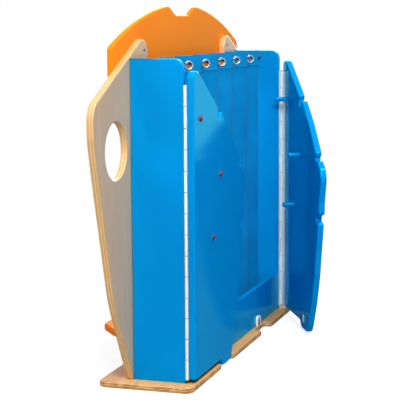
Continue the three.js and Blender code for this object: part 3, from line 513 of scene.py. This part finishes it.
def hinge_leaf(low, high, first, width, side):
    """One leaf about the axis Z at x = y = 0, reaching to -x on the +y side (side 1) or the -y side (-1).
    Its plate runs the whole length, and every second knuckle from the first is a strip rolled 330 degrees
    round the pin: centre line = straight at y = R, then (R sin t, R cos t), with half the strip's thickness
    each way."""
    centre = barrel_radius - strip / 2
    t = np.linspace(0, roll_end, roll_steps)
    line = np.column_stack([np.sin(t), np.cos(t)])
    outer = np.concatenate([[(-leaf_root, barrel_radius)], line * barrel_radius])
    inner = np.concatenate([[(-leaf_root, centre - strip / 2)], line * (centre - strip / 2)])
    rolled = np.concatenate([outer, inner[::-1]])
    pitch = (high - low) / knuckle_count
    starts = low + pitch * np.arange(first, knuckle_count, 2) + knuckle_gap / 2
    knuckles = swept(rolled, starts, np.full(len(starts), pitch - knuckle_gap))
    ease = strip * strip_ease_share
    plate_low, plate_high = centre - strip / 2, centre + strip / 2
    plate = np.array([
        (-width + ease, plate_low), (-leaf_root, plate_low), (-leaf_root, plate_high),
        (-width + ease, plate_high), (-width, plate_high - ease), (-width, plate_low + ease)])
    plate = swept(plate, [low], [high - low])
    head, head_faces = cross_head(screw_radius, screw_dome, screw_dome / 2, screw_dome)
    head = head @ turn("X", pi / 2).T + [-(width + leaf_root) / 2, plate_low, 0]
    levels = low + (high - low) * (np.arange(leaf_screws) + 0.5) / leaf_screws
    points, faces = joined(knuckles, plate, *[(head + [0, 0, z], head_faces) for z in levels])
    return points * [1, side, 1], faces


hinge_low, hinge_high = (corner.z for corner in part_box("left_hinge_wall_leaf"))
door_axes, door_turns = {}, {}
for hand, mirror in (("left", -1), ("right", 1)):
    joint = next(j for j in frame["joints"] if j["name"] == f"{hand}_door_swing")
    axis = np.array([joint["pos_m"][0], joint["pos_m"][1], 0.0])
    opened = turn("Z", door_ajar if hand == "right" else 0.0)
    door_axes[hand], door_turns[hand] = axis, opened
    points, faces = hinge_leaf(hinge_low, hinge_high, 0, wall_leaf_width, 1)
    points = points * [mirror, 1, 1] + axis
    leaf = new_piece(f"{hand}_wall_leaf", (points, faces), nickel, "cabinet")
    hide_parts(f"{hand}_hinge_wall_leaf")
    points, faces = hinge_leaf(hinge_low, hinge_high, 1, door_leaf_width, -1)
    points = (points * [mirror, 1, 1]) @ opened.T + axis
    leaf = new_piece(f"{hand}_door_leaf", (points, faces), nickel, f"{hand}_door")
    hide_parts(f"{hand}_hinge_door_leaf")
    low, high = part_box(f"{hand}_hinge_pin")
    points, faces = turned([
        (0, low.z), (pin_head_radius * pin_ease_share, low.z), (pin_head_radius, low.z + pin_head_height / 3),
        (pin_head_radius, low.z + pin_head_height), (pin_radius, low.z + pin_head_height),
        (pin_radius, high.z - pin_head_height), (pin_head_radius, high.z - pin_head_height),
        (pin_head_radius, high.z - pin_head_height / 3), (pin_head_radius * pin_ease_share, high.z),
        (0, high.z)], pin_sides)
    pin = new_piece(f"{hand}_pin", (points + axis, faces), steel_wire, "cabinet")
    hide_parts(f"{hand}_hinge_pin")

# Curtain rod and sockets: a 6 mm steel rod, nickel-plated, that mirrors the room in thin dark and light
# lines. Its plate and the cups' are drawn dark grey, a painted dark reflection of shade. It lies in two
# turned cups that are screwed to the walls' inner faces.
rod_nickel_painted_dark = plated_metal("nickel_plate_level_painted_dark", "#6b7074", 0.2, streak_axis=0)
end_ease, rod_play = 0.0006, 0.00035
rod_low, rod_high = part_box("curtain_rod")
rod_radius, rod_half = (rod_high.z - rod_low.z) / 2, (rod_high.x - rod_low.x) / 2
rod_middle = (rod_low + rod_high) / 2
rod_y, rod_z = rod_middle.y, rod_middle.z
points, faces = turned([
    (0, -rod_half), (rod_radius - end_ease, -rod_half), (rod_radius, end_ease - rod_half),
    (rod_radius, rod_half - end_ease), (rod_radius - end_ease, rod_half), (0, rod_half)])
points = points @ turn("Y", pi / 2).T + rod_middle
rod = new_piece("rod", (points, faces), rod_nickel_painted_dark, "cabinet")
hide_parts("curtain_rod")
cup_shares = ((1, 0), (1, 0.3), (0.96, 0.42), (0.66, 0.56), (0.6, 0.9), (0.55, 1))
for hand in ("left", "right"):
    low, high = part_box(f"{hand}_rod_socket")
    cup_radius, cup_length, bore = (high.z - low.z) / 2, high.x - low.x, rod_radius + rod_play
    outside = [(cup_radius * across_share, cup_length * out_share) for across_share, out_share in cup_shares]
    points, faces = turned([(bore, 0)] + outside + [(bore, cup_length), (bore, 0)])
    wall_face, inward = (low.x, 1) if hand == "left" else (high.x, -1)
    points = points @ turn("Y", inward * pi / 2).T + [wall_face, rod_y, rod_z]
    cup = new_piece(f"{hand}_socket", (points, faces), rod_nickel_painted_dark, "cabinet")
    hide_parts(f"{hand}_rod_socket")

# Curtain: one width of plain-woven blue cotton, turned over twice at the top for a stiff header, hung
# from the rod by eyelets, so that its pleats cross the rod every 59 mm and fall straight to the hem.
pleat_pitch, header_fold, hem_fold, hem_sway, sway_pleats = 0.118, 0.0175, 0.016, 0.35, 3
header_depth, hem_depth, pleats_across = 0.036, 0.014, 16 / 3
cloth_thickness, eyelet_hole, eyelet_count, eyelet_hang = 0.0018, 0.0086, 11, 0.003
cloth_low, cloth_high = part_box("curtain")
cloth_top, cloth_foot = cloth_high.z, cloth_low.z
cloth_half = pleats_across * pleat_pitch / 2
header_seam, hem_seam = cloth_top - header_depth, cloth_foot + hem_depth


def fold(x, z):
    """Depth of the pleats off the rod's line: A sin(2 pi x / pitch + sway), where A goes from the header's
    depth to the hem's, and the sway is a slow wave over three pleats that grows with the square of the
    fall."""
    fall = (cloth_top - z) / (cloth_top - cloth_foot)
    depth = header_fold + (hem_fold - header_fold) * fall
    sway = hem_sway * fall ** 2 * np.sin(tau * x / (sway_pleats * pleat_pitch))
    return depth * np.sin(tau * x / pleat_pitch + sway)


def cloth_ripple(x, z):
    """Small hand of the cloth: shallow ripples 0.7 mm deep that start under the header and grow to the
    hem, a sum of two slanted sine waves about 60 and 35 mm long."""
    ripple_depth, ripple_start, ripple_growth, quick_share = 0.0007, 0.03, 0.4, 0.6
    slow_length, slow_rise, wander_depth, wander_rise = 0.061, 0.5, 1.3, 0.31
    quick_length, quick_rise, quick_start = 0.035, 0.33, 2.1
    fall = np.clip((rod_z - ripple_start - z) / ripple_growth, 0, 1)
    wander = wander_depth * np.sin(tau * z / wander_rise)
    slow_wave = np.sin(tau * (x / slow_length + z / slow_rise) + wander)
    quick_wave = np.sin(tau * (x / quick_length - z / quick_rise) + quick_start)
    return ripple_depth * fall * (slow_wave + quick_share * quick_wave)


# The cloth as a grid. Its rows are rounded to the micron and lie closest at the header's seam. Both seams
# pull the cloth in, square to its face.
columns, hem_rows, plain_rows, seam_rows, header_rows = 420, 7, 44, 5, 22
seam_zone, seam_width, pucker_depth = 0.003, 0.002, 0.0008
x_line = np.linspace(-cloth_half, cloth_half, columns + 1)
rows_z = np.unique(np.round(np.concatenate([
    np.linspace(cloth_foot, hem_seam, hem_rows),
    np.linspace(hem_seam, header_seam - seam_zone, plain_rows),
    np.linspace(header_seam - seam_zone, header_seam + seam_zone, seam_rows),
    np.linspace(header_seam + seam_zone, cloth_top, header_rows),
]), 6))
grid_x, grid_z = np.meshgrid(x_line, rows_z)
grid_y = fold(grid_x, grid_z) + cloth_ripple(grid_x, grid_z)
seam_pull = np.exp(-((grid_z - header_seam) / seam_width) ** 2)
seam_pull += np.exp(-((grid_z - hem_seam) / seam_width) ** 2)
slope_x = np.gradient(grid_y, x_line, axis=1)
lean = np.hypot(1, slope_x)
pucker = pucker_depth * seam_pull
cloth_x = grid_x + slope_x / lean * pucker
cloth_y = grid_y - pucker / lean + rod_y
# Length along each row of the cloth, for its UV map, its stitches and its flat width.
arc = np.concatenate([np.zeros((len(rows_z), 1)),
                      np.cumsum(np.hypot(np.diff(grid_x, axis=1), np.diff(grid_y, axis=1)), 1)], 1)
cloth_grid = np.stack([cloth_x, cloth_y, grid_z], -1)
cloth_points = cloth_grid.reshape(-1, 3)
cloth_faces = grid_faces(len(rows_z), columns + 1)
# Holes: a face whose middle lies nearer to an eyelet's middle than the hole's radius is left out.
eyelet_x = (np.arange(eyelet_count) - eyelet_count // 2) * pleat_pitch / 2
eyelet_z = np.full(eyelet_count, rod_z - eyelet_hang)
eyelet_places = np.column_stack([eyelet_x, rod_y + fold(eyelet_x, rod_z), eyelet_z])
face_middles = cloth_points[cloth_faces].mean(1)
nearest = np.linalg.norm(face_middles[:, None] - eyelet_places[None], axis=2).min(1)
cloth_faces = cloth_faces[nearest > eyelet_hole]


def woven_cotton(name, hex_colour, shade):
    """Plain-woven cotton: tint = crossed waves of warp and weft + clouding of the dye + uneven yarn, with a
    soft sheen from the nap. The threads are drawn 1.2 mm apart, coarser than real ones, so that they show."""
    thread_pitch, slubs_across, slubs_along, clouds_per_metre = 0.0012, 900, 60, 14.0
    weave_share, slub_share = 0.12, 0.3
    material, tree, output = new_material(name)
    place = add_node(tree, "ShaderNodeTexCoord").outputs["UV"]
    weave = add_node(tree, "ShaderNodeMapping", {
        "Vector": place, "Scale": (1 / thread_pitch, 1 / thread_pitch, 1)})
    split = add_node(tree, "ShaderNodeSeparateXYZ", {0: weave.outputs[0]})
    waves = []
    for axis in (0, 1):
        turns = add_node(tree, "ShaderNodeMath", {0: split.outputs[axis], 1: tau}, operation="MULTIPLY")
        waves.append(add_node(tree, "ShaderNodeMath", {0: turns.outputs[0]}, operation="SINE"))
    crossed = add_node(tree, "ShaderNodeMath", {0: waves[0].outputs[0], 1: waves[1].outputs[0]},
                       operation="MULTIPLY")
    clouds = add_node(tree, "ShaderNodeTexNoise", {
        "Vector": place, "Scale": clouds_per_metre, "Detail": 4.0})
    slubs = add_node(tree, "ShaderNodeMapping", {"Vector": place, "Scale": (slubs_across, slubs_along, 1)})
    slubs = add_node(tree, "ShaderNodeTexNoise", {"Vector": slubs.outputs[0], "Scale": 1.0, "Detail": 2.0})
    tint = add_node(tree, "ShaderNodeMath", {0: crossed.outputs[0], 1: weave_share, 2: clouds.outputs[0]},
                    operation="MULTIPLY_ADD")
    tint = add_node(tree, "ShaderNodeMath", {0: slubs.outputs[0], 1: slub_share, 2: tint.outputs[0]},
                    operation="MULTIPLY_ADD")
    amount = add_node(tree, "ShaderNodeMapRange", {
        "Value": tint.outputs[0], "From Min": 0.3, "From Max": 1.0})
    colour = add_node(tree, "ShaderNodeMixRGB", {
        "Fac": amount.outputs[0], "Color1": linear(shade), "Color2": linear(hex_colour)})
    bump = add_node(tree, "ShaderNodeBump", {
        "Strength": 0.4, "Distance": 0.0003, "Height": tint.outputs[0]})
    shader = add_node(tree, "ShaderNodeBsdfPrincipled", {
        "Base Color": colour.outputs[0], "Roughness": 0.82, "Normal": bump.outputs[0],
        "Sheen Weight": 0.03, "Sheen Roughness": 0.5, "Specular IOR Level": 0.06, "IOR": 1.45})
    tree.links.new(shader.outputs[0], output.inputs["Surface"])
    return material


cotton = woven_cotton("blue_cotton", "#008cce", "#0074b2")
cloth_mesh = bpy.data.meshes.new("curtain_cloth")
cloth_mesh.from_pydata(cloth_points.tolist(), [], cloth_faces.tolist())
uv = cloth_mesh.uv_layers.new(name="cloth")
corner = np.zeros(len(cloth_mesh.loops), np.int32)
cloth_mesh.loops.foreach_get("vertex_index", corner)
flat_uv = np.stack([arc, grid_z], -1).reshape(-1, 2)
uv.data.foreach_set("uv", flat_uv[corner].ravel())
cloth_mesh.materials.append(cotton)
cloth_mesh.polygons.foreach_set("use_smooth", np.ones(len(cloth_mesh.polygons), bool))
cloth = bpy.data.objects.new("curtain_cloth", cloth_mesh)
bpy.context.scene.collection.objects.link(cloth)
# The header and the hem are folded over, so the plain cloth has half their thickness.
plain_share = 0.5
doubled = cloth.vertex_groups.new(name="doubled")
heavy = (grid_z > header_seam) | (grid_z < hem_seam)
for weight, rows in ((1.0, heavy), (plain_share, ~heavy)):
    doubled.add(np.flatnonzero(rows.ravel()).tolist(), weight, "REPLACE")
thicken = cloth.modifiers.new("thickness", "SOLIDIFY")
thicken.thickness = cloth_thickness
thicken.offset = 0
thicken.vertex_group = "doubled"
thicken.use_even_offset = True
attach(cloth, "cabinet")
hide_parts("curtain")

# Stitching of the header and hem: a lockstitch in blue thread, one stitch every 4 mm on each face of the
# cloth and sunk a little in it. The thread is drawn darker than the cloth, painted shade along the seams.
# A stitch is a spindle of four six-sided rings: ring centre = middle + (share of length) x way, and ring
# point = centre + radius (cos t outwards, sin t upwards).
stitch_pitch, stitch_length, stitch_radius, stitch_sides = 0.004, 0.0028, 0.00035, 6
ring_places, ring_shares, lift_share = (-0.5, -0.3, 0.3, 0.5), (0.05, 1, 1, 0.05), 0.3
t = np.arange(stitch_sides) * tau / stitch_sides
along = np.array(ring_places)[:, None, None] * stitch_length
thick = np.array(ring_shares)[:, None] * stitch_radius
lift = cloth_thickness / 2 + stitch_radius * lift_share
last_ring = (len(ring_places) - 1) * stitch_sides
stitch_faces = [tuple(face) for face in grid_faces(len(ring_places), stitch_sides, close_columns=True)]
stitch_faces += [tuple(range(stitch_sides - 1, -1, -1)), tuple(range(last_ring, last_ring + stitch_sides))]
stitches = []
for seam in (header_seam, hem_seam):
    row = int(np.argmin(np.abs(rows_z - seam)))
    run = np.arange(stitch_pitch, arc[row, -1] - stitch_pitch, stitch_pitch)
    ends = []
    for step in (-0.5, 0.5):
        stops = run + step * stitch_length
        ends.append(np.column_stack([np.interp(stops, arc[row], cloth_grid[row, :, k]) for k in (0, 1)]))
    start, end = ends
    way = (end - start) / np.linalg.norm(end - start, axis=1)[:, None]
    for face in (-1, 1):
        out = np.column_stack([way[:, 1], -way[:, 0]]) * -face
        plan = ((start + end) / 2 + out * lift)[:, None, None] + along * way[:, None, None]
        plan = plan + (thick * np.cos(t))[..., None] * out[:, None, None]
        height = np.broadcast_to(seam + thick * np.sin(t), plan.shape[:3])
        rings = np.concatenate([plan, height[..., None]], -1).reshape(len(run), -1, 3)
        stitches += [(ring, stitch_faces) for ring in rings]
# The thread's dark blue paints the shade along the seams.
blue_thread_painted_seam_shade = woven_cotton("blue_thread_painted_seam_shade", "#075f98", "#044f80")
stitching = new_piece("curtain_stitching", joined(*stitches), blue_thread_painted_seam_shade, "cabinet", 60)

# Eyelets: pressed brass rings with bright chrome plate, which mirrors sharply, with a rolled rim on each
# face of the cloth and a barrel between them, standing square to the cloth where it crosses the rod.
chrome = plated_metal("chrome_plate", "#c6cacd", 0.1, streak=0.03)
eyelet_outer, eyelet_bore, barrel_wall, grip, bulge = 0.01025, 0.0065, 0.0006, 0.0007, 0.0013
eyelet_sides, rim_points, slope_step = 40, 13, 0.0005
rim_middle, rim_half = (eyelet_outer + eyelet_bore) / 2, (eyelet_outer - eyelet_bore) / 2
rim = [(rim_middle + rim_half * cos(b), grip + bulge * sin(b)) for b in np.linspace(0, pi, rim_points)]
upper = [(eyelet_bore + barrel_wall, grip)] + rim
lower = [(r, -h) for r, h in reversed(upper)]
ring, ring_faces = turned(upper + lower + [upper[0]], eyelet_sides)
rings = []
for x, y, z in eyelet_places:
    rise = (fold(x + slope_step, z) - fold(x - slope_step, z)) / (2 * slope_step)
    standing = turn("Z", float(np.arctan(rise))) @ turn("X", -pi / 2)
    rings.append((ring @ standing.T + [x, y, z], ring_faces))
eyelets = new_piece("curtain_eyelets", joined(*rings), chrome, "cabinet", 50)
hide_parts(*[f"curtain_eyelet_{k}" for k in range(1, eyelet_count + 1)])


# Pegs and caps: a beech dowel in blue lacquer on the door's inner face, and a red moulded cap outside
# with a soft shine, whose stem runs through the door into the dowel.
def moulded(name, hex_colour, shade, roughness):
    """Moulded plastic or ceramic: smooth and softly shining, with faint mottling over 8 mm and fine pitting.
    The pits are drawn 0.8 mm wide, coarser than real ones, so that they show."""
    pit_width, mottles_per_metre, smoother, rougher = 0.0008, 120.0, 0.04, 0.06
    material, tree, output = new_material(name)
    place = add_node(tree, "ShaderNodeTexCoord").outputs["Object"]
    mottle = add_node(tree, "ShaderNodeTexNoise", {
        "Vector": place, "Scale": mottles_per_metre, "Detail": 3.0})
    pits = add_node(tree, "ShaderNodeTexNoise", {"Vector": place, "Scale": 1 / pit_width, "Detail": 1.0})
    colour = add_node(tree, "ShaderNodeMixRGB", {
        "Fac": mottle.outputs[0], "Color1": linear(shade), "Color2": linear(hex_colour)})
    bump = add_node(tree, "ShaderNodeBump", {
        "Strength": 0.1, "Distance": 0.0001, "Height": pits.outputs[0]})
    rough = add_node(tree, "ShaderNodeMapRange", {
        "Value": mottle.outputs[0], "To Min": roughness - smoother, "To Max": roughness + rougher})
    shader = add_node(tree, "ShaderNodeBsdfPrincipled", {
        "Base Color": colour.outputs[0], "Roughness": rough.outputs[0], "Normal": bump.outputs[0],
        "Coat Weight": 0.25, "Coat Roughness": 0.12, "Specular IOR Level": 0.2, "IOR": 1.5})
    tree.links.new(shader.outputs[0], output.inputs["Surface"])
    return material


peg_blue = sprayed_lacquer("blue_lacquer_dowel", *blue_tones, 1)
cap_red = moulded("red_cap", "#8e1a22", "#641016", 0.25)
peg_radius, peg_length, peg_tip, peg_ease = 0.006, 0.029, 0.003, 0.0004
cap_radius, cap_height, cap_rim, cap_lip, cap_ease = 0.006, 0.0045, 0.001, 0.0002, 0.0003
cap_stem, stem_length, peg_bore, bore_depth = 0.0023, 0.0276, 0.0026, 0.0123
door_gap, door_thickness, seat, tip_points, dome_points = 0.0033, 0.015, 0.0003, 8, 9
tip = [(peg_radius - peg_tip + peg_tip * cos(b), peg_length - peg_tip + peg_tip * sin(b))
       for b in np.linspace(0, pi / 2, tip_points)]
peg_profile = [(peg_bore, 0), (peg_radius - peg_ease, 0), (peg_radius, peg_ease)] + tip + [
    (0, peg_length), (0, bore_depth), (peg_bore, bore_depth), (peg_bore, 0)]
dome = [(cap_radius * sin(b), -cap_rim - (cap_height - cap_rim) * cos(b))
        for b in np.linspace(0, pi / 2, dome_points)]
cap_profile = dome + [(cap_radius, -cap_lip), (cap_radius - cap_ease, 0), (cap_stem, 0),
                      (cap_stem, stem_length), (0, stem_length)]
for hand in ("left", "right"):
    axis, opened = door_axes[hand], door_turns[hand]
    for level in ("upper", "middle", "lower"):
        low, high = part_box(f"{hand}_{level}_peg")
        middle = (np.array(low) + np.array(high)) / 2
        reach = ((middle - axis) @ opened)[0]
        for kind, profile, material, slot, depth in (
                ("peg", peg_profile, peg_blue, "blue_lacquer", -door_gap + seat),
                ("cap", cap_profile, cap_red, "red_enamel", -door_gap - door_thickness - seat)):
            points, faces = turned(profile)
            points = points @ turn("X", -pi / 2).T + [reach, depth, middle[2]]
            points = points @ opened.T + axis
            piece = new_piece(f"{hand}_{level}_{kind}_turned", (points, faces), material, f"{hand}_door")
            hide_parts(f"{hand}_{level}_{kind}")

# Catches: a white moulded bridge that holds a flat magnet at the foot of the apron, and a nickel strike
# plate on the door that meets it when the door is closed. The bridge is matt, the magnet dull black.
catch_white = moulded("white_catch", "#f2f2ee", "#e6e6e0", 0.42)
ferrite = moulded("black_magnet", "#2b2b30", "#1c1c20", 0.6)
for hand in ("left", "right"):
    finish_board(f"{hand}_catch_housing", catch_white)
    finish_board(f"{hand}_catch_magnet", ferrite)
    finish_board(f"{hand}_strike_plate", nickel)

# Screws of the crown: steel screws with pan heads and a cross recess, driven through the wing into the
# crown board. Their zinc plate is grey and not quite bright.
zinc = plated_metal("zinc_plate", "#9a9a96", 0.38, streak_axis=1)
head_radius, head_height, dome_share, rim_share, recess_depth = 0.004, 0.0024, 0.6, 0.4, 0.0012
shank_radius, shank_sides = 0.002, 24
for hand in ("left", "right"):
    for kind in ("ear", "inner"):
        low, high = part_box(f"{hand}_{kind}_screw")
        x, z, face = (low.x + high.x) / 2, (low.z + high.z) / 2, low.y + head_height
        tip = face - high.y
        head = cross_head(head_radius, head_height * dome_share, head_height * rim_share, recess_depth)
        shank = turned([(0, 0), (shank_radius, 0), (shank_radius, tip + shank_radius), (0, tip)], shank_sides)
        points, faces = joined(head, shank)
        points = points @ turn("X", pi / 2).T + [x, face, z]
        screw = new_piece(f"{hand}_{kind}_screw_head", (points, faces), zinc, "cabinet")
        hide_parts(f"{hand}_{kind}_screw")
